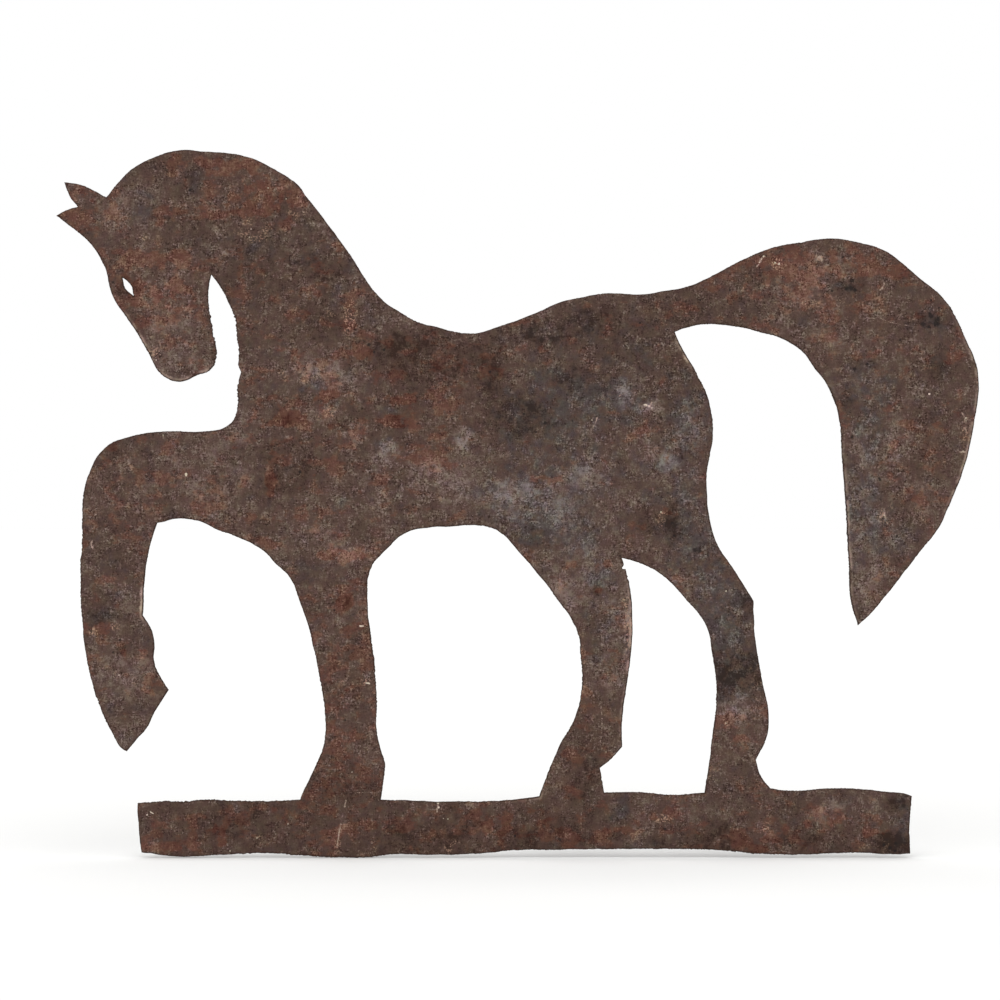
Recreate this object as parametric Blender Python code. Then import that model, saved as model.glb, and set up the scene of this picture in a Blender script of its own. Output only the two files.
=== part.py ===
"""Horse weathervane: a walking horse and the bar it stands on, cut by hand from one sheet of iron."""

import math

import bpy

# Driving dimensions, in metres
FIGURE_LENGTH = 0.923  # from the tip of the lower ear to the back of the tail
SHEET_THICKNESS = 0.003
BAR_HEIGHT = 0.054
FRONT_OVERHANG = 0.1625  # bar ahead of the standing hoof
REAR_OVERHANG = 0.1415  # bar behind the last hoof
BAR_RIPPLE = 0.001  # how far one step of the bar's uneven hand-cut edges rises or falls
EYE_LENGTH = 0.0215
EYE_WIDTH = 0.0064
EYE_TILT = math.radians(-58)

# The figure is drawn on a grid, and its strokes are shares of its length.
# On the grid x runs back from the head and y runs down, and the hooves stand on one line.
DRAWN_LENGTH = 923
SPINDLE_LINE = 343
HOOF_LINE = 800
STEPS_PER_POINT = 4

# Rusted iron, as seen from a step away
RUST_BROWN = (0.105, 0.065, 0.053, 1.0)
RUST_ROUGHNESS = 0.78

# Each stroke runs smoothly from one sharp corner to the next, where the next stroke starts
UPPER_EAR_TOP = ((64, 182), (81, 184.5), (98, 192.5), (106, 197))
CREST = (
    (106, 197), (120, 180), (134, 167.3), (154, 157), (180, 150), (205, 151.3), (235, 154),
    (255, 159.3), (278, 171.3), (295, 182), (308, 198.5), (331, 228.5), (351, 256),
)
BACK = (
    (366, 280), (382, 299.5), (399, 311.4), (421, 323), (435, 326.3), (452, 331), (474, 333.2),
    (500, 326.2), (540, 311), (558, 303), (590, 295.7),
)
CROUP = ((604, 293.4), (648, 294), (664, 290.9), (682, 288), (704, 279.8), (720, 271.5))
TAIL_TOP = (
    (750, 256.1), (776, 246.7), (800, 242.2), (832, 238.3), (866, 244.1), (887, 251.5),
    (904, 264.3), (924, 281.3), (943, 297.4),
)
TAIL_BACK = (
    (959.5, 323.5), (966.8, 341.3), (974.3, 357), (979, 382), (975, 420), (966.5, 460.5),
    (951.5, 500.5), (937.5, 530), (922, 549.5), (897, 582), (876, 608), (858, 625.5),
)
TAIL_INSIDE = (
    (858, 625.5), (850.8, 600), (848.8, 565), (845.2, 500), (841.3, 448), (838.8, 417),
    (827, 385), (814.5, 368), (804, 353), (783, 339.3), (762, 332.6), (738, 326.8), (705, 324.3),
    (688, 327.2), (674.8, 331.8),
)
HAUNCH = (
    (674.8, 331.8), (680, 343.8), (697, 374), (707, 395), (713, 428), (706.4, 484),
    (716.9, 543), (733, 568), (745, 587), (753.6, 601),
)
HIND_SHANK = ((753.6, 601), (755, 634), (762, 678), (769, 720), (766, 739.5), (756, 760))
HIND_HEEL = ((756, 760), (761, 776), (770.5, 788.5))
HIND_GAP_BACK = (
    (622, 558), (642, 563.8), (664, 576.6), (686.5, 600), (706, 625.3), (712.5, 656),
    (716.5, 686), (712, 741), (704.6, 792.8),
)
HIND_GAP_FLOOR = ((704.6, 792.8), (671, 795), (646, 792.6), (604.2, 792.7))
HIND_TOE = ((604.2, 792.7), (602.3, 781), (599.9, 768.2))
FETLOCK_POINT = ((599.9, 768.2), (610, 760), (622.3, 746.8))
INNER_SHANK = (
    (622.3, 746.8), (622, 724), (627.5, 679), (631.5, 650), (632.3, 614), (630, 588), (625.6, 569),
)
CHISEL_NICK = ((625.6, 569), (622.2, 568.4), (623.8, 565.2), (622, 558))
BELLY_GAP_FRONT = (
    (380.8, 799.8), (383.6, 780), (385.2, 765), (380.8, 750), (376.8, 731), (376.8, 700),
    (373.6, 656), (367.6, 600), (371, 568), (385, 551),
)
BELLY_GAP_TOP = ((406, 532.6), (430, 527.3), (450, 526.9), (476, 525.4), (497, 530.6), (520, 553))
BELLY_GAP_BACK = (
    (540, 576.6), (550, 589.3), (559, 601.8), (571, 618), (579.5, 640), (580.4, 655), (582, 673),
    (576.5, 714), (561, 743), (550, 768), (539.2, 796.4),
)
BELLY_GAP_FLOOR = ((539.2, 796.4), (514, 799.7), (440, 801.6), (395, 800.2), (380.8, 799.8))
STANDING_LEG = (
    (300, 799.8), (303, 792), (313.4, 770.6), (323.5, 745), (325.3, 722), (319.3, 677),
    (308, 626), (299, 600), (291, 580), (277, 565), (262, 550), (235, 536.3), (214, 528.5),
    (202, 522.3), (180, 518.7), (157, 523),
)
RAISED_FOREARM = ((157, 523), (151.3, 540), (145, 575), (142.6, 615.5))
RAISED_FETLOCK = ((142.6, 615.5), (151.5, 630.5), (154.2, 642), (154.2, 664), (159, 675), (168.5, 690))
RAISED_HOOF_BACK = ((168.5, 690), (155, 712), (148.4, 725), (137, 739), (126.5, 751.5))
RAISED_LEG_FRONT = (
    (126.5, 751.5), (120.5, 747.5), (113, 735), (101, 710), (89, 671), (82, 622), (80.3, 574),
    (81.8, 540), (82.8, 500), (88.5, 474), (105, 447.3), (130, 436.5), (162, 431.3),
    (206, 431.2), (228, 425), (237, 409), (237.4, 385), (240.8, 372),
)
CHEST = (
    (240.8, 372), (238.4, 366), (238.8, 352), (236.4, 334), (235.2, 321), (227, 299.5),
    (219, 285), (211, 274.5),
)
JAW = (
    (211, 274.5), (208, 292), (212, 328), (216.2, 356), (210.5, 369.7), (197, 375.4),
    (181, 381.7), (164, 376.6),
)
FACE = (
    (146, 349), (134.6, 329), (126.5, 318), (112, 295), (104.3, 266), (88, 241), (69, 225.3),
    (56, 215.5),
)
LOWER_EAR_TOP = ((56, 215.5), (67, 209.8), (77.5, 206.7))
EAR_NOTCH = ((77.5, 206.7), (69.5, 196), (64, 182))
EYE_CENTRE = (128, 286.6)

# The bar's uneven edges: the share of the way along, and the steps up from the straight edge
FRONT_TOP = ((1, -3.2), (0.88, -1.8), (0.68, -1.4), (0.62, 0), (0.37, -1.1), (0.12, -0.7))
REAR_TOP = ((0.12, 9.2), (0.42, 11.4), (0.57, 11.4), (0.85, 7.7), (0.95, 6.2), (1, 3.8))
BOTTOM = (
    (0.002, 0.3), (0.022, -0.7), (0.07, 1.2), (0.157, -0.9), (0.209, 0.8), (0.231, 2.8),
    (0.267, 4.2), (0.48, 4), (0.522, 3.4), (0.542, 1.4), (0.58, -0.5), (0.622, -1),
    (0.674, -0.6), (0.697, -3), (0.745, -3.4), (0.79, -1.6), (0.831, 0.7), (0.887, -0.8),
    (0.948, -2.8), (0.995, 1.4),
)

# Each end of the bar bows inwards: the steps in from its corner, and the share of the height down
REAR_BOW = (2.3, 0.55)
FRONT_BOW = (0.9, 0.5)


def on_sheet(point):
    """A point of the drawing on the sheet: metres from the spindle's line and from the bar's middle."""
    scale = FIGURE_LENGTH / DRAWN_LENGTH
    x, y = point
    return (x - SPINDLE_LINE) * scale, (HOOF_LINE - y) * scale + BAR_HEIGHT / 2


def drawn(*strokes):
    """The strokes as corners and smooth points, in order: (place, is it a corner)."""
    path = []
    for stroke in strokes:
        last = len(stroke) - 1
        for place, point in enumerate(stroke):
            path.append((on_sheet(point), place in (0, last)))
    return path


def smooth_run(*strokes):
    """Several strokes that follow on from each other with no corner where they meet."""
    return tuple(point for stroke in strokes for point in stroke)


def bar_edge(ripples, start, reach, line):
    """An uneven edge of the bar, which starts at one place and reaches along a straight line."""
    return [((start + share * reach, line + steps * BAR_RIPPLE), False) for share, steps in ripples]


def bar_end(bow, end, inwards):
    """The middle of one end of the bar."""
    steps, drop = bow
    return [((end + inwards * steps * BAR_RIPPLE, (0.5 - drop) * BAR_HEIGHT), False)]


def bar_path():
    """The bar's outline from behind the last hoof, round its two ends, to the front of the standing hoof."""
    toe = on_sheet(STANDING_LEG[0])[0]
    heel = on_sheet(HIND_HEEL[-1])[0]
    front, rear = toe - FRONT_OVERHANG, heel + REAR_OVERHANG
    top, bottom = BAR_HEIGHT / 2, -BAR_HEIGHT / 2
    rear_top = bar_edge(REAR_TOP, heel, REAR_OVERHANG, top)
    lower = bar_edge(BOTTOM, rear, front - rear, bottom)
    front_top = bar_edge(FRONT_TOP, toe, -FRONT_OVERHANG, top)
    for edge, place in ((rear_top, -1), (lower, 0), (lower, -1), (front_top, 0)):
        edge[place] = (edge[place][0], True)
    return rear_top + bar_end(REAR_BOW, rear, -1) + lower + bar_end(FRONT_BOW, front, 1) + front_top


def eye_path():
    """The slit eye: a leaf with a point at each end."""
    across, up = on_sheet(EYE_CENTRE)
    path = []
    for along, side, corner in ((-0.5, 0, True), (0, 0.5, False), (0.5, 0, True), (0, -0.5, False)):
        length, width = along * EYE_LENGTH, side * EYE_WIDTH
        x = across + length * math.cos(EYE_TILT) - width * math.sin(EYE_TILT)
        z = up + length * math.sin(EYE_TILT) + width * math.cos(EYE_TILT)
        path.append(((x, z), corner))
    return path


def without_repeats(path):
    """The path with the points that two strokes share kept once."""
    kept = []
    for place, corner in path:
        if not kept or math.dist(kept[-1][0], place) > 1e-6:
            kept.append((place, corner))
    if math.dist(kept[0][0], kept[-1][0]) < 1e-6:
        kept.pop()
    return kept


def add_loop(curve, path):
    """A closed outline on the curve, smooth at its points and sharp at its corners."""
    path = without_repeats(path)
    spline = curve.splines.new("BEZIER")
    spline.bezier_points.add(len(path) - 1)
    spline.use_cyclic_u = True
    for point, ((across, up), corner) in zip(spline.bezier_points, path):
        point.co = (across, up, 0)
        point.handle_left_type = point.handle_right_type = "VECTOR" if corner else "AUTO"


def horse_path():
    """The outer outline, from the upper ear over the back and tail, along the bar and up to the face."""
    over_the_back = smooth_run(CREST, BACK, CROUP, TAIL_TOP, TAIL_BACK)
    rear = drawn(UPPER_EAR_TOP, over_the_back, TAIL_INSIDE, HAUNCH, HIND_SHANK, HIND_HEEL)
    raised_leg = (RAISED_FOREARM, RAISED_FETLOCK, RAISED_HOOF_BACK, RAISED_LEG_FRONT)
    head = (CHEST, smooth_run(JAW, FACE), LOWER_EAR_TOP, EAR_NOTCH)
    return rear + bar_path() + drawn(STANDING_LEG, *raised_leg, *head)


def rusted_iron():
    """Sheet iron under an even brown rust."""
    material = bpy.data.materials.new("rusted_iron")
    material.use_nodes = True
    shader = material.node_tree.nodes["Principled BSDF"]
    shader.inputs["Base Color"].default_value = RUST_BROWN
    shader.inputs["Roughness"].default_value = RUST_ROUGHNESS
    return material


def make_horse(collection):
    """The whole sheet, standing on edge with its back face on the plane y = 0."""
    curve = bpy.data.curves.new("horse_and_bar", "CURVE")
    curve.dimensions = "2D"
    curve.fill_mode = "BOTH"
    curve.resolution_u = STEPS_PER_POINT
    curve.extrude = SHEET_THICKNESS / 2
    under_belly = smooth_run(BELLY_GAP_FRONT, BELLY_GAP_TOP, BELLY_GAP_BACK)
    add_loop(curve, horse_path())
    add_loop(curve, drawn(under_belly, BELLY_GAP_FLOOR))
    add_loop(curve, drawn(HIND_GAP_BACK, HIND_GAP_FLOOR, HIND_TOE, FETLOCK_POINT, INNER_SHANK, CHISEL_NICK))
    add_loop(curve, eye_path())
    curve.materials.append(rusted_iron())
    horse = bpy.data.objects.new("horse_and_bar", curve)
    horse.rotation_euler.x = math.pi / 2
    horse.location.y = -SHEET_THICKNESS / 2
    collection.objects.link(horse)


def main():
    for obj in list(bpy.data.objects):
        bpy.data.objects.remove(obj, do_unlink=True)
    collection = bpy.data.collections.new("horse_weathervane")
    bpy.context.scene.collection.children.link(collection)
    make_horse(collection)


main()
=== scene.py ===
"""Horse weathervane: a hand-cut sheet of rusted iron, stood on a pale studio floor.

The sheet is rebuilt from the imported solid's own outline, with chisel-cut edges, slight buckles
and rust-pitted faces. Its colour comes from one procedural material.
"""

import math

import bpy
import numpy as np
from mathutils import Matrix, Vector, geometry, kdtree, noise


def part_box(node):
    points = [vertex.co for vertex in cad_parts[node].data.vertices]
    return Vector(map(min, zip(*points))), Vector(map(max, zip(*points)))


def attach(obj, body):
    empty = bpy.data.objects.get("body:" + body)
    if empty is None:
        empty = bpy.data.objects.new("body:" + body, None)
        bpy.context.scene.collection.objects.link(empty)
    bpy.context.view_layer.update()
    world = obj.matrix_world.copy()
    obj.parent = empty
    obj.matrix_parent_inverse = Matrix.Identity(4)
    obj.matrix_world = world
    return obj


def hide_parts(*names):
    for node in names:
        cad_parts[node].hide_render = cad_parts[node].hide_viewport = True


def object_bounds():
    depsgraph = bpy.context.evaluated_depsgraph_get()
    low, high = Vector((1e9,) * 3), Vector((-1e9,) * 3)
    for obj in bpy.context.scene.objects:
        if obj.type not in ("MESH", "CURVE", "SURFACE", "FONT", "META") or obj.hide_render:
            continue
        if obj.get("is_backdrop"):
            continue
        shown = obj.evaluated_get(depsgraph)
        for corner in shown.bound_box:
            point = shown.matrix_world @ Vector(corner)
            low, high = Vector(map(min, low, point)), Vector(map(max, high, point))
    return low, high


bl_info = {
    "name": "Horse Weathervane",
    "version": (1, 0, 0),
    "blender": (4, 5, 0),
    "location": "View3D > Sidebar > Weathervane",
    "description": "Cuts and weathers a sheet-iron horse weathervane and lights it in a plain studio",
    "category": "Object",
}

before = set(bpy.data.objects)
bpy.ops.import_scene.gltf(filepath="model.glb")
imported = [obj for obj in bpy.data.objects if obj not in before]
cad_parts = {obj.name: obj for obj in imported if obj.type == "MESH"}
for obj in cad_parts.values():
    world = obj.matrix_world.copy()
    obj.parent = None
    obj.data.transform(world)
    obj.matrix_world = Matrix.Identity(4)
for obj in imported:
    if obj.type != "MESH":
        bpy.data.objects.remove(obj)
cad_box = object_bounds()

MM = 0.001
NODE = "horse_and_bar"

# The marks below are placed as they lie in the photograph, where a pixel is a millimetre of the
# sheet: x runs back from the head and y runs down
SPINDLE_LINE = 343
BAR_MIDDLE = 827
PICTURE_MIDDLE = 500

# Soft patches of lighter, darker, redder and greyer colour, each with its middle, half its width and half its
# height, and how strong it is
PALE_PATCHES = (
    (320, 372, 24, 9, 0.8),  # shoulder
    (346, 384, 12, 8, 0.5),
    (178, 364, 26, 12, 0.3),  # muzzle
    (172, 330, 24, 26, 0.35),
    (150, 284, 26, 24, 0.25),
    (108, 214, 22, 18, 0.3),
    (215, 478, 34, 26, 0.25),  # raised forearm
    (150, 472, 34, 18, 0.15),
    (350, 555, 20, 7, 0.8),  # elbow
    (330, 538, 20, 10, 0.3),
    (463, 438, 7, 9, 1.0),  # barrel
    (385, 452, 10, 12, 0.6),
    (357, 432, 8, 14, 0.8),
    (325, 412, 7, 6, 0.6),
    (440, 482, 38, 20, 0.3),
    (424, 468, 11, 18, 0.4),
    (512, 489, 16, 13, 0.5),  # flank
    (538, 505, 36, 20, 0.35),
    (506, 500, 18, 18, 0.3),
    (590, 550, 30, 34, 0.25),
    (585, 470, 16, 12, 0.4),
    (625, 398, 6, 18, 1.1),  # haunch
    (653, 408, 12, 7, 0.8),
    (668, 463, 8, 11, 0.9),
    (645, 450, 16, 14, 0.4),
    (690, 425, 12, 16, 0.4),
    (567, 590, 16, 16, 0.4),  # far hind leg
    (614, 640, 15, 50, 0.3),
    (628, 628, 5, 38, 0.6),
    (738, 706, 26, 11, 0.6),  # near hind foot
    (740, 722, 20, 15, 0.2),
    (125, 672, 22, 24, 0.5),  # raised hoof
    (640, 823, 9, 12, 0.6),  # bar
    (765, 826, 9, 14, 0.6),
    (830, 815, 20, 9, 0.5),
    (165, 848, 26, 4, 0.3),
    (342, 823, 4, 21, 0.5),
    (700, 813, 20, 7, 0.3),
    (872, 455, 24, 34, 0.2),  # tail
    (868, 545, 18, 40, 0.2),
    (870, 590, 12, 22, 0.4),
    (800, 285, 34, 24, 0.3),
    (900, 440, 14, 20, 0.3),
)
DARK_PATCHES = (
    (500, 838, 370, 26, 0.22),  # all along the bar
    (300, 800, 190, 14, 0.2),
    (630, 850, 300, 14, 0.2),
    (720, 300, 44, 26, 0.3),  # tail root
    (620, 345, 70, 40, 0.25),  # haunch
    (400, 352, 26, 20, 0.5),  # back
    (440, 362, 40, 26, 0.5),
    (395, 345, 18, 12, 0.4),
    (490, 366, 12, 30, 0.6),
    (545, 334, 26, 10, 0.8),
    (592, 318, 24, 11, 0.5),
    (528, 418, 32, 18, 0.75),  # barrel
    (575, 378, 22, 14, 0.4),
    (360, 425, 18, 14, 0.4),
    (262, 270, 34, 30, 0.35),  # neck
    (325, 265, 20, 16, 0.4),
    (318, 318, 24, 16, 0.5),
    (285, 419, 9, 6, 0.7),  # shoulder
    (273, 483, 7, 9, 0.8),
    (397, 421, 8, 5, 0.6),
    (192, 192, 13, 12, 0.3),  # crest
    (300, 466, 18, 13, 0.4),  # breast
    (296, 487, 12, 6, 0.5),
    (262, 452, 20, 10, 0.4),
    (672, 527, 6, 17, 1.2),  # thigh
    (650, 520, 10, 12, 0.4),
    (735, 674, 30, 20, 1.15),  # near hind shank
    (745, 600, 11, 20, 0.6),
    (720, 612, 12, 14, 0.4),
    (931, 322, 13, 7, 1.0),  # tail
    (936, 365, 11, 10, 0.4),
    (850, 286, 15, 6, 0.7),
    (855, 368, 5, 6, 0.6),
    (848, 400, 8, 14, 0.4),
    (897, 805, 10, 5, 1.0),  # bar
    (893, 842, 16, 8, 1.3),
    (228, 828, 18, 13, 0.4),
    (265, 820, 12, 11, 0.4),
    (400, 830, 24, 12, 0.3),
    (450, 833, 24, 10, 0.35),
    (512, 837, 16, 7, 0.5),
    (560, 830, 20, 10, 0.4),
    (600, 812, 10, 7, 0.5),
    (715, 836, 20, 9, 0.4),
    (800, 842, 20, 6, 0.5),
    (585, 772, 18, 22, 0.6),  # far hind hoof
    (345, 782, 28, 16, 0.35),  # standing hoof
    (345, 601, 7, 7, 1.0),
    (598, 591, 5, 4, 0.9),
    (98, 600, 9, 13, 0.2),  # raised leg
    (114, 453, 14, 9, 0.6),
    (110, 617, 16, 4, 0.7),
    (126, 650, 6, 4, 0.8),
    (128, 640, 15, 9, 0.15),
    (128, 287, 9, 13, 0.8),  # round the eye
)
RED_STAINS = (
    (90, 200, 34, 20, 0.4),  # ears
    (150, 500, 90, 50, 0.25),  # raised leg
    (400, 400, 110, 60, 0.25),  # shoulder and barrel
    (150, 290, 44, 42, 0.55),  # cheek
    (172, 290, 26, 20, 0.5),
    (230, 185, 66, 36, 0.45),  # crest
    (262, 200, 26, 13, 0.7),
    (300, 205, 13, 13, 0.6),
    (235, 166, 20, 9, 0.7),
    (94, 192, 15, 7, 0.5),
    (74, 214, 11, 6, 0.6),
    (296, 355, 6, 10, 1.0),  # shoulder
    (325, 395, 9, 4, 2.2),
    (325, 403, 9, 7, 0.6),
    (288, 420, 11, 7, 2.4),
    (398, 402, 8, 4, 1.8),
    (395, 420, 11, 5, 2.4),
    (362, 352, 5, 8, 1.1),
    (351, 318, 7, 18, 1.0),
    (412, 400, 5, 10, 0.9),
    (272, 483, 6, 9, 2.2),
    (258, 420, 10, 8, 0.5),
    (370, 355, 6, 6, 0.6),
    (350, 554, 25, 6, 1.4),  # elbow
    (380, 540, 8, 9, 0.7),
    (342, 690, 34, 120, 0.35),  # standing leg
    (598, 591, 4, 3, 1.2),
    (345, 601, 6, 6, 2.6),
    (348, 722, 18, 40, 0.3),
    (810, 278, 84, 34, 0.5),  # tail
    (785, 265, 22, 11, 0.6),
    (880, 263, 28, 13, 0.5),
    (862, 272, 34, 14, 0.6),
    (950, 350, 13, 22, 0.4),
    (908, 470, 22, 44, 0.5),
    (885, 585, 20, 20, 0.4),
    (880, 335, 60, 30, 0.35),
    (742, 745, 20, 30, 0.4),  # near hind foot
    (300, 828, 170, 26, 0.22),  # bar
    (218, 836, 13, 10, 1.2),
    (165, 848, 26, 4, 1.5),
    (501, 828, 12, 15, 0.9),
    (872, 833, 10, 4, 1.6),
    (807, 825, 7, 3, 1.5),
    (722, 807, 5, 4, 1.2),
    (745, 845, 6, 4, 1.2),
    (762, 850, 5, 3, 1.4),
    (615, 829, 12, 4, 1.0),
    (572, 845, 9, 4, 1.2),
    (560, 828, 90, 24, 0.1),
    (780, 825, 90, 24, 0.18),
    (328, 826, 19, 13, 0.3),
    (290, 815, 20, 8, 0.4),
    (540, 826, 10, 12, 0.7),
    (650, 819, 18, 7, 0.7),
    (775, 825, 15, 13, 0.6),
    (838, 816, 12, 10, 0.8),
    (135, 655, 13, 5, 1.0),  # raised hoof
    (150, 690, 13, 7, 0.7),
    (100, 630, 8, 8, 0.8),
    (605, 690, 20, 50, 0.15),  # far hind leg
    (600, 700, 15, 16, 0.4),
    (570, 570, 8, 8, 0.8),
    (660, 512, 10, 6, 0.9),  # thigh
)
GREY_STAINS = (
    (545, 440, 56, 84, 0.55),  # barrel and flank
    (545, 405, 44, 24, 0.4),
    (518, 500, 40, 28, 0.5),
    (620, 400, 40, 18, 0.5),
    (560, 330, 40, 10, 0.4),
    (640, 480, 30, 20, 0.3),
    (688, 420, 20, 30, 0.9),  # haunch
    (626, 400, 10, 18, 0.8),
    (668, 463, 10, 12, 0.8),
    (463, 438, 9, 10, 0.8),
    (640, 350, 20, 18, 0.4),
    (690, 530, 30, 50, 0.7),  # thigh
    (727, 577, 24, 40, 0.7),
    (736, 673, 30, 24, 1.0),  # near hind shank
    (722, 625, 18, 20, 0.8),
    (262, 243, 30, 9, 0.4),  # neck
    (320, 250, 16, 13, 0.5),
    (145, 206, 15, 20, 0.6),  # forehead
    (190, 178, 16, 15, 0.6),
    (878, 460, 44, 110, 0.2),  # tail
    (866, 450, 18, 60, 0.3),
    (862, 518, 13, 26, 0.5),
    (936, 365, 11, 10, 0.3),
    (868, 405, 24, 34, 0.4),
    (850, 286, 18, 9, 1.0),
    (930, 320, 17, 10, 1.0),
    (905, 540, 14, 15, 0.4),
    (603, 577, 14, 8, 1.4),  # far hind leg
    (605, 628, 20, 50, 0.5),
    (540, 530, 22, 13, 0.8),
    (580, 545, 10, 18, 0.5),
    (902, 825, 8, 22, 1.3),  # bar
    (870, 838, 16, 8, 0.6),
    (615, 812, 14, 9, 0.6),
    (640, 844, 20, 4, 0.7),
    (110, 616, 15, 6, 0.8),  # raised leg
    (115, 590, 14, 13, 0.4),
    (330, 574, 20, 7, 0.7),  # elbow
    (316, 374, 20, 10, 0.3),  # shoulder
    (310, 390, 9, 7, 1.2),
    (335, 400, 7, 6, 0.9),
    (390, 412, 8, 5, 1.0),
    (385, 450, 10, 12, 0.9),
    (345, 505, 9, 8, 0.7),
    (332, 243, 6, 6, 1.0),
    (300, 262, 6, 6, 0.8),
)

# Stretches of cut edge with a thin pale line just inside: partly worn by a hand or the weather, partly a
# painted highlight where the cut edge catches the light
WORN_AND_LIT_EDGES = (
    (140, 604, 6, 13, 1.0),
    (628, 716, 8, 24, 0.7),
    (137, 345, 14, 24, 0.8),
    (190, 378, 28, 8, 0.7),
    (631, 636, 8, 40, 0.8),
    (966, 450, 22, 110, 0.6),
    (848, 535, 9, 60, 0.6),
    (685, 352, 8, 12, 0.8),
    (560, 800, 30, 8, 0.5),
)

# Stretches where the chisel tore the cut edge into small teeth
TOOTHED_EDGES = (
    (214, 328, 8, 26, 1.0),  # jaw
    (238, 348, 8, 36, 1.0),  # throat
    (237, 402, 8, 16, 0.6),  # breast
    (83, 555, 8, 70, 0.5),  # raised leg
    (100, 700, 12, 30, 0.4),
    (318, 690, 10, 60, 0.4),  # standing leg
    (371, 670, 8, 70, 0.4),
    (625, 575, 8, 12, 0.6),  # far hind leg
    (582, 640, 8, 50, 0.3),
    (715, 690, 8, 50, 0.3),  # near hind leg
    (850, 560, 8, 50, 0.4),  # tail
    (215, 800, 70, 7, 0.5),  # bar
    (310, 856, 70, 7, 0.4),
    (700, 850, 120, 8, 0.3),
)

# Where loose rust lies in pale and ochre specks
DUSTY_PLACES = (
    (325, 413, 8, 7, 1.6),  # shoulder
    (331, 316, 12, 8, 0.6),
    (351, 317, 6, 16, 2.0),
    (290, 372, 14, 12, 0.6),
    (318, 376, 14, 12, 0.8),
    (283, 420, 10, 12, 0.7),
    (355, 438, 10, 12, 0.6),
    (252, 232, 22, 12, 0.9),  # neck
    (296, 212, 10, 8, 0.8),
    (155, 352, 6, 6, 1.2),  # muzzle
    (168, 330, 14, 22, 0.4),
    (135, 236, 24, 5, 0.6),
    (777, 264, 6, 5, 2.6),  # tail
    (820, 258, 5, 4, 1.2),
    (881, 286, 4, 5, 1.0),
    (815, 300, 34, 8, 0.8),
    (884, 515, 7, 9, 1.0),
    (905, 318, 20, 5, 0.8),
    (967, 435, 5, 20, 1.0),
    (925, 378, 14, 16, 0.5),
    (578, 664, 6, 30, 1.0),  # far hind leg
    (628, 640, 4, 26, 1.8),
    (627, 606, 4, 18, 1.0),
    (600, 560, 14, 20, 0.3),
    (726, 724, 5, 8, 0.9),  # near hind foot
    (710, 776, 5, 16, 0.9),
    (756, 690, 5, 24, 0.7),
    (665, 820, 7, 4, 1.4),  # bar
    (640, 836, 18, 8, 0.5),
    (766, 829, 5, 5, 1.6),
    (448, 846, 10, 7, 1.1),
    (259, 840, 4, 5, 0.8),
    (372, 843, 5, 8, 1.0),
    (338, 846, 5, 9, 0.9),
    (820, 810, 60, 8, 0.4),
    (870, 845, 26, 6, 0.5),
    (119, 676, 5, 5, 1.0),  # raised leg
    (93, 631, 5, 5, 1.2),
    (115, 627, 4, 3, 1.6),
    (352, 552, 18, 4, 0.9),  # standing leg
    (377, 534, 6, 5, 0.9),
    (339, 660, 7, 7, 0.6),
    (366, 683, 5, 5, 1.2),
    (661, 519, 4, 14, 1.6),  # thigh
)

# Bare bright specks: middle and size
FLECKS = (
    (186, 474, 2.6), (186, 476, 2.0), (360, 626, 2.2), (363, 626, 2.0), (119, 675, 1.5),
    (122, 639, 1.0), (438, 803, 3.0), (438.5, 807.5, 2.4), (443.5, 818.5, 1.5), (448, 819, 1.0),
    (147, 815, 1.6), (150.5, 812, 1.6), (153, 813.5, 1.3), (156, 360, 1.5), (763.5, 256.5, 2.2),
    (761.5, 259.5, 2.0), (759.5, 262.5, 1.9), (757, 266, 1.7), (929.5, 394, 2.8), (649, 406.5, 2.8),
    (644, 405, 1.8), (163, 435, 1.5), (726, 591, 1.5), (726, 723, 1.6), (257, 838, 1.4),
    (288, 824, 1.3), (230, 851, 1.2), (372, 843, 1.4), (268, 188, 1.4), (286, 199, 1.4),
    (352, 772, 1.8), (366, 683, 2.0), (369.5, 683.5, 1.8), (661, 512, 1.8), (606, 752, 1.2),
    (592, 420, 1.2), (251, 229, 1.3), (249.5, 237, 1.3), (884.5, 515, 1.4), (966, 418, 1.6),
    (966.5, 421, 1.3), (765, 829, 1.6), (963, 451, 1.3), (958, 450, 1.1), (646.5, 405, 2.4),
    (652, 408, 1.9), (779, 264, 2.6), (775, 263, 1.7),
)

# Small dark pits: middle and size
PITS = (
    (851, 288, 3.8), (855, 290, 3.0), (846, 289, 2.6), (923, 324, 3.8), (931, 316, 3.6),
    (938, 319, 3.4), (936, 324, 4.4), (929, 327, 2.4), (854.5, 369, 2.8), (867, 364, 2.6),
    (852, 281, 3.4), (930, 313, 1.8), (939, 308, 1.8), (880, 480, 1.8), (879, 478, 1.6),
    (695.5, 550, 4.0), (699, 550.5, 3.6), (832, 291, 2.0), (843, 257, 2.4), (931, 300, 2.0),
    (300, 472, 2.4), (292, 478, 2.0), (369, 345, 3.0), (384, 350, 2.4), (374, 352, 2.0),
    (852, 437, 2.2), (848, 512, 1.8), (883, 518, 2.0), (897, 536, 1.8), (120, 640, 2.0),
    (113, 652, 1.8), (545, 423, 2.6), (524, 414, 2.4), (536, 432, 2.0), (490, 372, 2.2),
    (407, 444, 2.0), (672, 523, 2.6), (674, 536, 2.2), (610, 700, 1.8), (740, 640, 2.0),
    (345, 720, 1.8), (334, 610, 1.8), (240, 208, 1.8), (190, 190, 2.2), (113, 282, 1.8),
    (640, 323, 2.0), (593, 330, 2.2), (700, 300, 2.0), (730, 290, 1.8), (900, 340, 1.8),
    (515, 836, 2.2), (560, 840, 2.0), (665, 829, 2.4), (790, 846, 2.0), (890, 848, 3.0),
    (884, 845, 2.6), (895, 851, 2.4), (896, 843, 2.0), (620, 556, 1.8),
)

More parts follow.
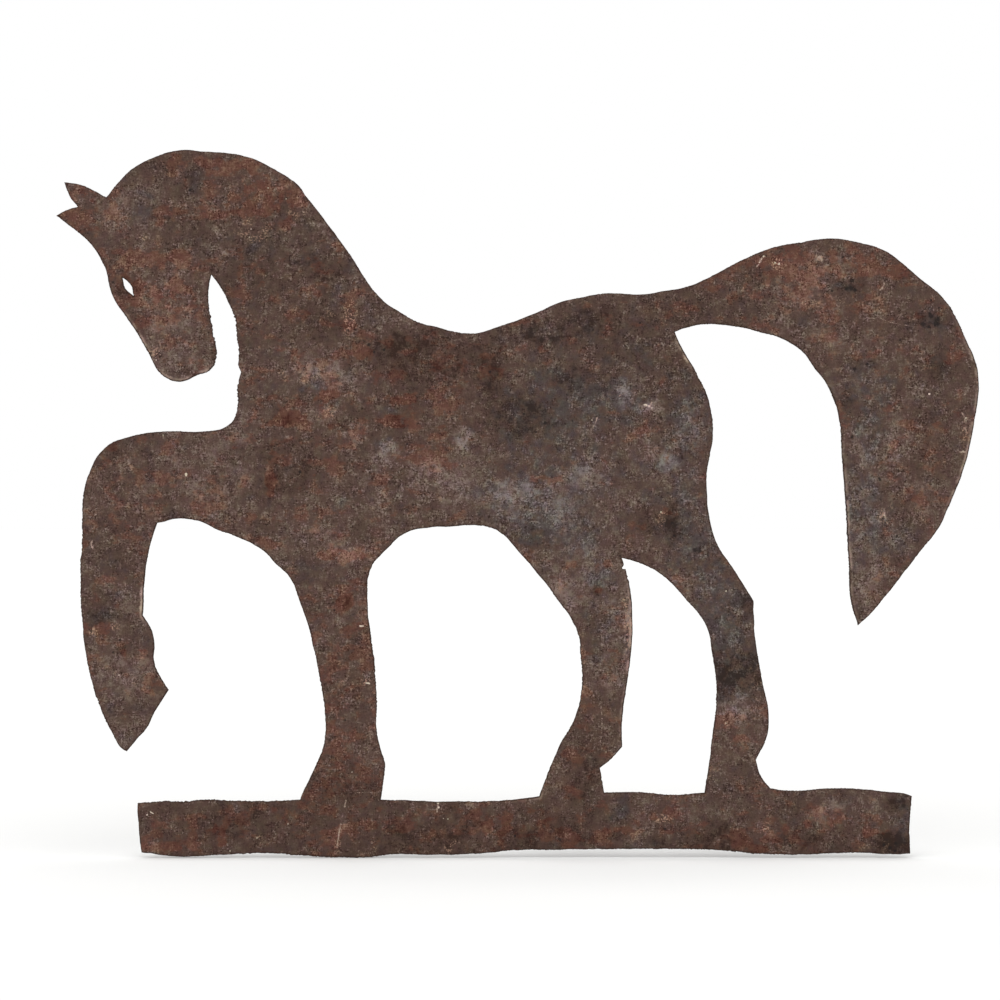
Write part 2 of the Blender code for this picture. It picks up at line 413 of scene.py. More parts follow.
# Scratches and pale runs: the points that each passes
SCRATCHES = (
    ((346, 801), (342, 818), (337, 847)),
    ((438, 804), (437, 812)),
    ((597, 418), (594, 425), (590, 435)),
    ((764, 256), (761, 260), (759, 264), (756, 267)),
    ((880, 290), (883, 287), (884, 283)),
    ((817, 260), (820, 256), (822, 261)),
    ((880, 517), (884, 515), (886, 519)),
    ((884, 509), (884.5, 513)),
    ((163, 436), (164, 441)),
    ((965, 428), (966, 433), (967.5, 438)),
    ((642, 408.5), (645.5, 406), (648.5, 406), (652.5, 410)),
    ((650.5, 404.5), (652, 402)),
    ((956, 394), (961, 395), (965.5, 394)),
    ((957, 451), (961, 452), (965.5, 452)),
    ((962, 413), (965, 418), (966, 423)),
    ((92, 541), (91, 544), (93, 548)),
)
FAINT_SCRATCHES = (
    ((878, 317), (893, 323), (911, 326), (922, 328)),
    ((355, 793), (366, 792.5), (375, 793)),
    ((360, 804), (360.5, 815)),
    ((411.5, 804), (411, 816)),
    ((582, 808), (581, 820), (582, 833)),
    ((601, 706), (602, 724), (600, 745)),
    ((586, 670.5), (596, 669.5), (604, 670)),
    ((860, 318.5), (867, 318), (875, 318.5)),
    ((618, 397), (625, 393), (632, 391)),
    ((836, 303), (840, 310), (846, 313)),
    ((806, 301), (800, 304)),
    ((104, 502), (100, 510), (94, 516)),
    ((122, 488), (126, 494)),
    ((132, 492), (137, 497)),
)


def hex_colour(text):
    """An sRGB hex colour as the linear red, green and blue that a shader takes."""
    parts = [int(text[place : place + 2], 16) / 255 for place in (0, 2, 4)]
    return tuple(p / 12.92 if p <= 0.04045 else ((p + 0.055) / 1.055) ** 2.4 for p in parts)


def colour_setting(name, description, text):
    return bpy.props.FloatVectorProperty(
        name=name,
        description=description,
        subtype="COLOR",
        size=3,
        min=0,
        max=1,
        default=hex_colour(text),
    )


def length_setting(name, description, default):
    return bpy.props.FloatProperty(
        name=name, description=description, default=default, min=0, unit="LENGTH", precision=5
    )


class SheetSettings(bpy.types.PropertyGroup):
    """How the sheet was cut and how the weather has left its faces."""

    front_spacing: length_setting("Front spacing", "Distance between points of the front face", 2.62 * MM)
    back_spacing: length_setting("Back spacing", "Distance between points of the back face", 4.9 * MM)
    edge_spacing: length_setting("Edge spacing", "Distance between points along the cut edge", 1.3 * MM)
    chisel_length: length_setting("Chisel length", "Longest straight cut that the chisel left", 11 * MM)
    chisel_step: length_setting("Chisel step", "Usual step between one cut and the next", 0.17 * MM)
    burr: length_setting("Burr", "How ragged the edge is where the chisel tore it", 0.34 * MM)
    tooth_depth: length_setting("Tooth depth", "How deep the small teeth of a torn edge are", 0.6 * MM)
    edge_round: length_setting("Edge rounding", "How far in the weather has rounded the cut edge", 1.0 * MM)
    buckle: length_setting("Buckle", "How far the sheet bends out of true", 1.3 * MM)
    rust_relief: length_setting("Rust relief", "Height of the lumps that rust has raised", 0.22 * MM)
    pit_depth: length_setting("Pit depth", "Depth of the deepest rust pits", 0.3 * MM)


class RustSettings(bpy.types.PropertyGroup):
    """The colours of the rust."""

    # Dark brown also paints the shade along the cut edge, where the rounded edge turns from the light
    brown_dark: colour_setting("Dark brown", "Rust in the pits", "322018")
    brown: colour_setting("Brown", "The even rust all over", "58443C")
    brown_pale: colour_setting("Pale brown", "Rust rubbed thin", "8C7973")
    red_dark: colour_setting("Dark red brown", "Shade of the warmer rust", "3A1E14")
    red: colour_setting("Red brown", "The warmer rust", "5E4338")
    red_pale: colour_setting("Pale red brown", "The warmer rust rubbed thin", "93786D")
    scale_dark: colour_setting("Dark scale", "Shade of the rolled skin", "2D211D")
    scale: colour_setting("Mill scale", "The rolled skin that still holds", "514745")
    scale_pale: colour_setting("Pale scale", "Rolled skin bleached by rain", "887E7D")
    bloom_dark: colour_setting("Dark bloom", "Shade of a smear of fresh rust", "421B0F")
    bloom: colour_setting("Bloom", "A smear of fresh red rust", "673F33")
    bloom_pale: colour_setting("Pale bloom", "A smear of fresh rust rubbed thin", "996F60")
    mauve_cast: colour_setting("Mauve cast", "What filters the light where rust is mauve", "FFF3FC")
    green_cast: colour_setting("Green cast", "What filters the light where rust is olive", "F3FFEF")
    powder: colour_setting("Powder", "Specks of loose ochre rust", "B48E7B")
    pit: colour_setting("Pit", "The shaded bottom of a rust pit", "1E1716")
    bare: colour_setting("Bare fleck", "Iron laid bare by a knock", "E2D2BF")
    # The scratch colour also paints the highlight just inside the cut edge
    scratch: colour_setting("Scratch", "A thin pale run or scratch", "B49C8F")


class StageSettings(bpy.types.PropertyGroup):
    """The floor, the lamps and the camera."""

    floor_size: length_setting("Floor size", "Width of the floor", 60.0)
    sky_strength: bpy.props.FloatProperty(
        name="Room light", description="Strength of the even white light of the room", default=0.5, min=0
    )
    key_strength: bpy.props.FloatProperty(
        name="Key light", description="Strength of the soft lamp overhead", default=2.5, min=0
    )
    key_spread: bpy.props.FloatProperty(
        name="Key softness",
        description="How wide the soft lamp looks from the vane",
        default=math.radians(85),
        min=0,
        max=math.pi,
        subtype="ANGLE",
    )
    lens: bpy.props.FloatProperty(
        name="Lens", description="Focal length of the camera", default=100, min=1, unit="CAMERA"
    )


def on_sheet(x, y):
    """A place in the photograph as metres along and up the sheet."""
    return (x - SPINDLE_LINE) * MM, (BAR_MIDDLE - y) * MM


def sheet_loops(node):
    """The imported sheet's outer outline and its openings, as loops of points along and up it."""
    mesh = node.data
    open_edges = set()
    for face in mesh.polygons:
        if face.normal.y > -0.9:
            continue
        corners = [mesh.vertices[v].co for v in face.vertices]
        ring = [(round(co.x, 6), round(co.z, 6)) for co in corners]
        for a, b in zip(ring, ring[1:] + ring[:1]):
            if (b, a) in open_edges:
                open_edges.remove((b, a))
            else:
                open_edges.add((a, b))
    following = dict(sorted(open_edges))
    loops = []
    while following:
        start, place = following.popitem()
        loop = [start]
        while place != start:
            loop.append(place)
            place = following.pop(place)
        loops.append(np.array(loop))
    return sorted(loops, key=len, reverse=True)


def unit(vectors):
    return vectors / np.maximum(np.linalg.norm(vectors, axis=-1, keepdims=True), 1e-12)


def turns(loop):
    """How far the loop turns at each of its points."""
    into, out = loop - np.roll(loop, 1, 0), np.roll(loop, -1, 0) - loop
    change = np.arctan2(out[:, 1], out[:, 0]) - np.arctan2(into[:, 1], into[:, 0])
    return (change + math.pi) % (2 * math.pi) - math.pi


def smooth_stretch(points, spacing):
    """Evenly spaced points on a smooth curve through these, without the last one."""
    chords = np.diff(points, axis=0)
    lengths = np.linalg.norm(chords, axis=1)
    along = unit(chords)
    heading = along.copy()
    heading = np.vstack([heading, heading[-1:]])
    if len(points) > 2:
        share = (lengths[:-1] / (lengths[:-1] + lengths[1:]))[:, None]
        heading[1:-1] = unit(along[:-1] * (1 - share) + along[1:] * share)
        heading[0] = unit(2 * along[0] - heading[1])
        heading[-1] = unit(2 * along[-1] - heading[-2])
    fine = []
    for place, length in enumerate(lengths):
        t = np.arange(0, 1, 1 / 8)[:, None]
        a, b = points[place], points[place + 1]
        lead, tail = heading[place] * length, heading[place + 1] * length
        fine.append(
            a * (2 * t**3 - 3 * t**2 + 1)
            + lead * (t**3 - 2 * t**2 + t)
            + b * (3 * t**2 - 2 * t**3)
            + tail * (t**3 - t**2)
        )
    fine = np.vstack([*fine, points[-1:]])
    run = np.concatenate([[0], np.cumsum(np.linalg.norm(np.diff(fine, axis=0), axis=1))])
    count = max(2, round(run[-1] / spacing))
    places = np.linspace(0, run[-1], count + 1)[:-1]
    return np.column_stack([np.interp(places, run, fine[:, axis]) for axis in (0, 1)])


def evenly_spaced(loop, spacing):
    """The loop with smooth stretches between its corners, and which of its points are corners."""
    sharp = np.flatnonzero(abs(turns(loop)) > math.radians(25))
    if len(sharp) == 0:
        sharp = np.array([0])
    points, corners = [], []
    for start, end in zip(sharp, np.append(sharp[1:], sharp[0] + len(loop))):
        stretch = smooth_stretch(loop[np.arange(start, end + 1) % len(loop)], spacing)
        points.append(stretch)
        corners += [True] + [False] * (len(stretch) - 1)
    return np.vstack(points), np.array(corners)


def outwards(loop):
    """The direction out of the iron at each point of the loop."""
    heading = unit(np.roll(loop, -1, 0) - np.roll(loop, 1, 0))
    return np.column_stack([heading[:, 1], -heading[:, 0]])


def clear_of(corners, reach):
    """Whether each point of a loop lies more than so many points from a corner."""
    return np.minimum.reduce([np.roll(~corners, shift) for shift in range(-reach, reach + 1)])


def chisel_cut(loop, corners, settings, rng):
    """The loop as a cold chisel leaves it: short straight cuts that don't quite meet."""
    fewest_cuts = 6
    shortest_share = 0.35
    mismatch = 0.6 * settings.chisel_step
    roughness = 0.3 * settings.chisel_step
    steps = np.linalg.norm(loop - np.roll(loop, 1, 0), axis=1)
    run = np.cumsum(steps) - steps[0]
    total = run[-1] + steps[0]
    longest = min(settings.chisel_length, total / fewest_cuts)
    cuts = [0.0]
    while cuts[-1] < total - longest:
        cuts.append(cuts[-1] + rng.uniform(shortest_share, 1.0) * longest)
    cuts = np.array(cuts)
    starts = rng.normal(0, settings.chisel_step, len(cuts))
    ends = np.roll(starts, -1) + rng.normal(0, mismatch, len(cuts))
    cut = np.searchsorted(cuts, run, side="right") - 1
    widths = np.append(cuts[1:], total) - cuts
    share = (run - cuts[cut]) / widths[cut]
    offset = starts[cut] * (1 - share) + ends[cut] * share
    # A power well over one leaves most of the cuts clean and a few of them torn
    torn = np.interp(run, cuts, rng.uniform(0, 1, len(cuts)) ** 2.5)
    torn *= min(settings.burr, steps.mean() / 4)
    torn += np.minimum(stained(loop, TOOTHED_EDGES, 6.5), 1) * settings.tooth_depth
    torn *= clear_of(corners, 5)
    offset += rng.uniform(-1, 1, len(loop)) * (torn + roughness)
    return loop + outwards(loop) * (offset * clear_of(corners, 1))[:, None]


def nearest(points, targets):
    """How far each of the points is from the nearest target."""
    tree = kdtree.KDTree(len(targets))
    for index, (x, y) in enumerate(targets):
        tree.insert((x, y, 0), index)
    tree.balance()
    return np.array([tree.find((x, y, 0))[2] for x, y in points])


def stepped_in(loops, distance):
    """The loops moved into the iron by a distance, and by less where the iron is too narrow for it."""
    tries = 6
    slack = 0.97
    drawn_back = 0.6
    margin = 0.9
    everywhere = np.vstack(loops)
    moved = []
    for loop in loops:
        reach = np.full(len(loop), distance)
        out = outwards(loop)
        for _ in range(tries):
            tight = nearest(loop - out * reach[:, None], everywhere) < reach * slack
            reach[tight] *= drawn_back
        moved.append(loop - out * reach[:, None] * margin)
    return moved


def crossings(loops, height):
    """Where the loops cross one level, from left to right."""
    found = []
    for loop in loops:
        after = np.roll(loop, -1, 0)
        hit = (loop[:, 1] > height) != (after[:, 1] > height)
        a, b = loop[hit], after[hit]
        found.append(a[:, 0] + (height - a[:, 1]) / (b[:, 1] - a[:, 1]) * (b[:, 0] - a[:, 0]))
    return np.sort(np.concatenate(found))


def is_iron(points, loops):
    """Whether each point lies in the iron and not in an opening or outside it."""
    return np.array([np.searchsorted(crossings(loops, y), x) % 2 == 1 for x, y in points])


def honeycomb(loops, spacing, rng):
    """Points all over the iron, each about one spacing from its neighbours and from the loops."""
    clearance = 0.6 * spacing
    scatter = 0.16
    outline = np.vstack(loops)
    low, high = outline.min(0), outline.max(0)
    rows = np.arange(low[1], high[1], spacing * math.sqrt(3) / 2)
    points = []
    for number, height in enumerate(rows):
        across = np.arange(low[0] + (number % 2) * spacing / 2, high[0], spacing)
        inside = np.searchsorted(crossings(loops, height), across) % 2 == 1
        points.append(np.column_stack([across[inside], np.full(inside.sum(), height)]))
    points = np.vstack(points)
    points = points[nearest(points, outline) > clearance]
    return points + rng.uniform(-scatter, scatter, points.shape) * spacing


def triangles(loops, lines, loose):
    """Triangles over the iron between the loops, through the lines and the loose points."""
    points = np.vstack([*loops, *lines, loose]) if len(lines) else np.vstack([*loops, loose])
    edges, start = [], 0
    for loop in loops:
        edges += [(start + i, start + (i + 1) % len(loop)) for i in range(len(loop))]
        start += len(loop)
    rim = start
    for line in lines:
        edges += [(start + i, start + i + 1) for i in range(len(line) - 1)]
        start += len(line)
    vectors = [Vector(point) for point in points]
    closest, smallest_area = 1e-7, 1e-12
    made = geometry.delaunay_2d_cdt(vectors, edges, [], 0, closest, True)
    places, faces, origins = made[0], made[2], made[3]
    crossed = [place.to_tuple(4) for place, origin in zip(places, origins) if len(origin) != 1]
    if crossed or len(places) != len(points):
        raise RuntimeError(f"the face can't be filled, because its lines cross at {crossed[:4]}")
    back = np.array([origin[0] for origin in origins])
    faces = back[np.array(faces)]
    doubtful = (faces < rim).all(1)
    keep = ~doubtful
    keep[doubtful] = is_iron(points[faces[doubtful]].mean(1), loops)
    faces = faces[keep]
    a, b, c = (points[faces[:, corner]] for corner in (0, 1, 2))
    area = (b[:, 0] - a[:, 0]) * (c[:, 1] - a[:, 1]) - (b[:, 1] - a[:, 1]) * (c[:, 0] - a[:, 0])
    faces[area < 0] = faces[area < 0][:, ::-1]
    return points, faces[abs(area) > smallest_area]


def stained(points, stains, seed):
    """How strongly a set of stains marks each point, with their outlines broken up by the rust."""
    large, small, patch = 60, 150, 190  # bends and patches to a metre
    furthest = 15 * MM
    warp = np.array(
        [
            noise.noise_vector((x * large, y * large, seed)) * 0.6
            + noise.noise_vector((x * small, y * small, seed + 5)) * 0.3
            for x, y in points
        ]
    )
    patchy = np.array([noise.noise((x * patch, y * patch, seed + 2)) for x, y in points])
    total = np.zeros(len(points))
    for x, y, half_width, half_height, strength in stains:
        half = np.array([half_width, half_height]) * MM
        moved = points + warp[:, :2] * min(*half, furthest)
        from_middle = np.linalg.norm((moved - on_sheet(x, y)) / half, axis=1)
        total += strength * (1 - np.tanh((from_middle - 1.1) * 2)) / 2
    return total * (1 + patchy)


def spots(points, marks):
    """How far each point is from the nearest small mark, in halves of that mark's width."""
    places = np.array([on_sheet(x, y) for x, y, _ in marks])
    sizes = np.array([size for _, _, size in marks]) * MM / 2
    return (np.linalg.norm(points[:, None] - places[None], axis=2) / sizes).min(1)


def relief(points, seed, settings):
    """How far rust lifts or pits the face at each point."""
    wide, narrow = 45, 160  # lumps and pits to a metre
    unpitted = 0.25
    heights = np.zeros(len(points))
    for place, (x, y) in enumerate(points):
        lumps = noise.fractal((x * wide, y * wide, seed), 1.0, 2.1, 4)
        pits = noise.noise((x * narrow, y * narrow, seed + 3))
        heights[place] = lumps * settings.rust_relief
        heights[place] -= max(0.0, pits - unpitted) * 2 * settings.pit_depth
    return heights


def buckled(points, settings):
    """How far the whole sheet bends out of true at each point, and not at all along the bar."""
    # Three waves that cross: their height, how fast they run along and up, and their start
    waves = ((1.0, 7.1, 3.2, 0.6), (0.6, 15.3, -11.7, 1.9), (0.35, 29, 23, 4.4))
    bar_top, full_height = 0.03, 0.25
    x, y = points[:, 0], points[:, 1]
    bend = sum(height * np.sin(x * along + y * up + start) for height, along, up, start in waves)
    rise = np.clip((y - bar_top) / full_height, 0, 1)
    return settings.buckle * bend / 1.6 * rise * rise * (3 - 2 * rise)


def strip(lower, upper, count):
    """Quads between two rings of as many points, given where each ring starts."""
    here = np.arange(count)
    after = (here + 1) % count
    return np.column_stack([lower + here, lower + after, upper + after, upper + here])


def marked_lines(scratches, spacing):
    """The scratches as lines of closely spaced points along and up the sheet."""
    lines = []
    for scratch in scratches:
        points = np.array([on_sheet(x, y) for x, y in scratch])
        lines.append(np.vstack([smooth_stretch(points, spacing), points[-1:]]))
    return lines


def build_sheet(settings):
    """The sheet's mesh: front face, rounded cut edge and back face, with its marks as attributes."""
    rng = np.random.default_rng(1885)
    fewest_steps = 20
    loops = []
    for loop in sheet_loops(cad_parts[NODE]):
        spacing = min(settings.edge_spacing, np.ptp(loop, axis=0).max() / fewest_steps)
        even, corners = evenly_spaced(loop, spacing)
        loops.append(chisel_cut(even, corners, settings, rng))
    outline = np.vstack(loops)
    rim = stepped_in(loops, settings.edge_round)
    shoulder_share, back_share = 0.3, 0.5
    shoulder = stepped_in(loops, settings.edge_round * shoulder_share)
    back_rim = stepped_in(loops, settings.edge_round * back_share)
    line_clearance = 0.4 * settings.edge_spacing
    dot_clearance = 0.3 * settings.edge_spacing
    mark_clearance = 0.45 * settings.front_spacing
    lines = []
    for line in marked_lines((*SCRATCHES, *FAINT_SCRATCHES), settings.edge_spacing):
        clear = nearest(line, np.vstack(rim)) > line_clearance
        line = line[is_iron(line, rim) & clear]
        if len(line) > 1:
            lines.append(line)
    dots = np.array([on_sheet(x, y) for x, y, _ in (*FLECKS, *PITS)])
    clear = nearest(dots, np.vstack([*rim, *lines])) > dot_clearance
    dots = dots[is_iron(dots, rim) & clear]
    marks = np.vstack([*lines, dots])

    front_fill = honeycomb(rim, settings.front_spacing, rng)
    front_fill = front_fill[nearest(front_fill, marks) > mark_clearance]
    front_points, front_faces = triangles(rim, lines, np.vstack([dots, front_fill]))
    back_fill = honeycomb(back_rim, settings.back_spacing, rng)
    back_points, back_faces = triangles(back_rim, [], back_fill)

    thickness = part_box(NODE)[1].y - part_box(NODE)[0].y
    front_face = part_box(NODE)[0].y
    # The cut edge between the faces: each ring, and how far through the sheet it lies
    rings = ((np.vstack(shoulder), 0.12), (outline, 0.4), (outline, 0.88))
    edge_roughness = 0.09 * MM
    pitted = np.exp(-spots(front_points, PITS)) * settings.pit_depth
    layers = [(front_points, front_face - relief(front_points, 2.0, settings) + pitted)]
    for points, share in rings:
        rough = rng.normal(0, edge_roughness, len(points))
        layers.append((points, front_face + share * thickness + rough))
    layers.append((back_points, front_face + thickness + relief(back_points, 9.0, settings)))
    starts = np.cumsum([0] + [len(points) for points, _ in layers])
    front_end, back_start = starts[1], starts[4]

    faces = front_faces.tolist()
    faces += (back_faces[:, ::-1] + back_start).tolist()
    begin = 0
    for loop in loops:
        for lower, upper in ((0, 1), (1, 2), (2, 3), (3, 4)):
            quads = strip(starts[lower] + begin, starts[upper] + begin, len(loop))
            faces += quads[:, ::-1].tolist()
        begin += len(loop)

    flat = np.vstack([points for points, _ in layers])
    depth = np.concatenate([depths for _, depths in layers]) + buckled(flat, settings)
    mesh = bpy.data.meshes.new("rusted_sheet")
    mesh.from_pydata(np.column_stack([flat[:, 0], depth, flat[:, 1]]).tolist(), [], faces)
    mesh.validate()
    mesh.shade_smooth()

    from_edge = nearest(flat, outline)
    from_edge[front_end:back_start] = 0
    from_edge[front_end : starts[2]] = shoulder_share * settings.edge_round
    on_front = np.arange(len(flat)) < front_end
    far_off = 20.0
    from_scratch, from_fleck, from_pit = np.full((3, len(flat)), far_off)
    # A faint scratch is coloured as if it lay a little further off
    for scratches, faintness in ((SCRATCHES, 0.0), (FAINT_SCRATCHES, 0.6)):
        line_points = np.vstack(marked_lines(scratches, settings.edge_spacing))
        away = nearest(front_points, line_points) / MM + faintness
        from_scratch[on_front] = np.minimum(from_scratch[on_front], away)
    from_fleck[on_front] = spots(front_points, FLECKS)
    from_pit[on_front] = spots(front_points, PITS)
    # The plainer back is half as stained
    strength = np.where(on_front, 1.0, 0.5)
    values = {
        "stain": (stained(flat, PALE_PATCHES, 1.5) - stained(flat, DARK_PATCHES, 4.5)) * strength,
        "tint": (stained(flat, RED_STAINS, 7.5) - stained(flat, GREY_STAINS, 8.5)) * strength,
        # Where the pale line inside the cut edge lies: partly wear, partly a painted highlight
        "worn_and_lit": stained(flat, WORN_AND_LIT_EDGES, 3.5),
        "dusty": stained(flat, DUSTY_PLACES, 5.5),
        "from_edge": from_edge / MM,
        "from_scratch": from_scratch,
        "from_fleck": from_fleck,
        "from_pit": from_pit,
    }
    for name, value in values.items():
        attribute = mesh.attributes.new(name, "FLOAT", "POINT")
        attribute.data.foreach_set("value", value.astype(np.float32))
    return mesh


def add(tree, kind, sockets=None, stops=(), **settings):
    """One more node: its settings, and for each socket a value or the output that feeds it."""
    made = tree.nodes.new(kind)
    for name, value in settings.items():
        setattr(made, name, value)
    for name, value in (sockets or {}).items():
        if isinstance(value, bpy.types.NodeSocket):
            tree.links.new(value, made.inputs[name])
        else:
            made.inputs[name].default_value = value
    for number, (place, colour) in enumerate(stops):
        if number >= len(made.color_ramp.elements):
            made.color_ramp.elements.new(place)
        made.color_ramp.elements[number].position = place
        made.color_ramp.elements[number].color = (*colour, 1)
    return made


def rusted_sheet_iron(colours):
    """Hand-cut sheet iron, rolled, rusted outdoors and never painted.

    To the eye it is a dry, even, dark brown skin, grainy like coarse sandpaper, with smears of
    redder rust, blue-grey places where the rolling scale still holds, dark smoky spots and a few
    bright knocks. Rust is an oxide, so it has no metal's shine.
    """
    material = bpy.data.materials.new("hand_cut_rusted_sheet_iron")
    material.use_nodes = True
    tree = material.node_tree
    shader = tree.nodes["Principled BSDF"]
    place = add(tree, "ShaderNodeTexCoord").outputs["Object"]
    out = {}
    runs = {"all ways": place}
    for name, stretch in (("lengthways", (0.5, 1, 1)), ("thread", (0.25, 1, 1)), ("upright", (1, 1, 0.25))):
        sockets = {0: place, 1: stretch}
        runs[name] = add(tree, "ShaderNodeVectorMath", sockets, operation="MULTIPLY").outputs[0]

    # Cloudy patterns: millimetres across the largest lumps, detail, roughness, and whether they
    # run lengthways, the way that the sheet was rolled. The grit is coarser than real rust's
    # 0.2 mm grains, so that it shows.
    patterns = {
        "clouds": (90, 3, 0.55, "all ways"),
        "mottle": (26, 3, 0.65, "all ways"),
        "blotch": (9, 2, 0.6, "all ways"),
        "grain": (3.0, 3, 0.75, "all ways"),
        "tint_clouds": (70, 4, 0.6, "all ways"),
        "tint_mottle": (16, 2, 0.6, "all ways"),
        "smear": (20, 4, 0.68, "lengthways"),
        "smoke": (34, 3, 0.6, "all ways"),
        "haze": (40, 3, 0.6, "all ways"),
        "broken": (12, 2, 0.6, "all ways"),
        "ragged": (11, 3, 0.7, "all ways"),
        "cast": (9, 3, 0.65, "all ways"),
        "worked": (15, 3, 0.65, "all ways"),
        "weft": (1.5, 2, 0.6, "thread"),
        "warp": (1.5, 2, 0.6, "upright"),
    }
    for name, (size, detail, roughness, run) in patterns.items():
        sockets = {
            "Vector": runs[run],
            "Scale": 1 / (size * MM),
            "Detail": detail,
            "Roughness": roughness,
        }
        out[name] = add(tree, "ShaderNodeTexNoise", sockets).outputs["Fac"]
    for name, size in (("grit", 1.2), ("lumps", 2.4)):
        cells = {"Vector": place, "Scale": 1 / (size * MM)}
        out[name] = add(tree, "ShaderNodeTexVoronoi", cells).outputs["Color"]
    marks = ("stain", "tint", "worn_and_lit", "dusty")
    for name in (*marks, "from_edge", "from_scratch", "from_fleck", "from_pit"):
        out[name] = add(tree, "ShaderNodeAttribute", attribute_name=name).outputs["Fac"]

    def combine(sums, masks, products=()):
        """Sums are a start and shares of other patterns. Masks stretch one of them to 0 to 1."""
        for name, (total, terms) in sums.items():
            for term, share in terms.items():
                sockets = {0: out[term], 1: share, 2: total}
                total = add(tree, "ShaderNodeMath", sockets, operation="MULTIPLY_ADD").outputs[0]
            out[name] = total
        for name, (source, low, high) in masks.items():
            sockets = {"Value": out[source], 1: low, 2: high}
            made = add(tree, "ShaderNodeMapRange", sockets, interpolation_type="SMOOTHSTEP")
            out[name] = made.outputs["Result"]
        for name, first, second in products:
            sockets = {0: out[first], 1: out[second]}
            out[name] = add(tree, "ShaderNodeMath", sockets, operation="MULTIPLY").outputs[0]

    combine(
        {},
        {
            "smoky": ("smoke", 0.54, 0.68),
            "hazy": ("haze", 0.55, 0.7),
            "powdered": ("grit", 0.56, 0.76),
            "unbroken": ("broken", 0.36, 0.54),
            "frayed": ("ragged", 0.36, 0.64),
            "roughened": ("worked", 0.4, 0.62),
            "pale_grains": ("grit", 0.72, 0.9),
            "dark_grains": ("grit", 0.28, 0.1),
            "pale_lumps": ("lumps", 0.76, 0.88),
            "dark_lumps": ("lumps", 0.24, 0.12),
        },
        (
            ("frayed_stain", "stain", "frayed"),
            ("frayed_tint", "tint", "frayed"),
        ),
    )
    combine(
        {
            "grains": (
                -1.07,
                {
                    "grain": 0.42,
                    "grit": 0.4,
                    "weft": 0.66,
                    "warp": 0.66,
                    "pale_grains": 0.1,
                    "dark_grains": -0.3,
                    "pale_lumps": 0.05,
                    "dark_lumps": -0.1,
                },
            ),
            "coarseness": (0.4, {"roughened": 1.1}),
        },
        {},
        (("texture", "grains", "coarseness"),),
    )
    combine(
        {
            "tone": (
                -0.14,
                {
                    "stain": 0.16,
                    "frayed_stain": 0.36,
                    "clouds": 0.22,
                    "mottle": 0.5,
                    "blotch": 0.5,
                    "texture": 1.0,
                    "smoky": -0.1,
                    "hazy": 0.1,
                },
            ),
            "redness": (
                -0.685,
                {
                    "tint": 0.17,
                    "frayed_tint": 0.32,
                    "tint_clouds": 0.55,
                    "tint_mottle": 0.9,
                    "blotch": 0.5,
                    "mottle": 0.42,
                    "smoky": -0.12,
                },
            ),
            "smeared": (-0.25, {"smear": 1.0, "redness": 0.5}),
            # Painted shade: how far in from the cut edge a dark line reaches, where the edge's rounding turns
            # from the light
            "edge_shade_depth": (-3.15, {"from_edge": 1.0, "grain": 2.0, "grit": 1.2, "broken": 2.4}),
            "scratch_depth": (-2.4, {"from_scratch": 1.0, "grain": 3.0, "grit": 2.0}),
            "worn_depth": (-2.4, {"from_edge": 1.0, "grain": 3.2, "grit": 2.0}),
            "fleck_depth": (-1.0, {"from_fleck": 1.0, "grain": 2.0}),
            "dust_depth": (-1.2, {"dusty": 1.0, "blotch": 2.4}),
            "pit_depth": (-1.0, {"from_pit": 1.0, "grain": 2.0}),
            "height": (0.0, {"grain": 1.0, "mottle": 1.2, "grit": 0.25}),
        },
        {
            "reddened": ("redness", 0.5, 1.0),
            "scaled": ("redness", 0.5, 0.0),
            "bloomed": ("smeared", 0.54, 0.66),
            "painted_edge_shade": ("edge_shade_depth", 1.4, 0.2),
            # The band just inside the cut edge, where a pale line is painted: partly wear, partly a painted
            # highlight
            "lit_edge": ("from_edge", 0.8, 1.8),
            "inside_edge": ("worn_depth", 4.4, 2.2),
            "scratched": ("scratch_depth", 0.9, 0.1),
            "knocked": ("fleck_depth", 1.2, 0.5),
            "pitted": ("pit_depth", 1.9, 0.8),
            "dusted": ("dust_depth", 0.4, 1.6),
            "dryness": ("tone", 0.2, 0.8),
        },
    )

    # Each skin is shaded by the tone, from its pits to where it is rubbed thin
    skins = {
        "brown": (colours.brown_dark, colours.brown, colours.brown_pale),
        "red": (colours.red_dark, colours.red, colours.red_pale),
        "scale": (colours.scale_dark, colours.scale, colours.scale_pale),
        "bloom": (colours.bloom_dark, colours.bloom, colours.bloom_pale),
    }
    for name, shades in skins.items():
        stops = tuple(zip((0.0, 0.5, 1.0), shades))
        out[name] = add(tree, "ShaderNodeValToRGB", {0: out["tone"]}, stops).outputs["Color"]

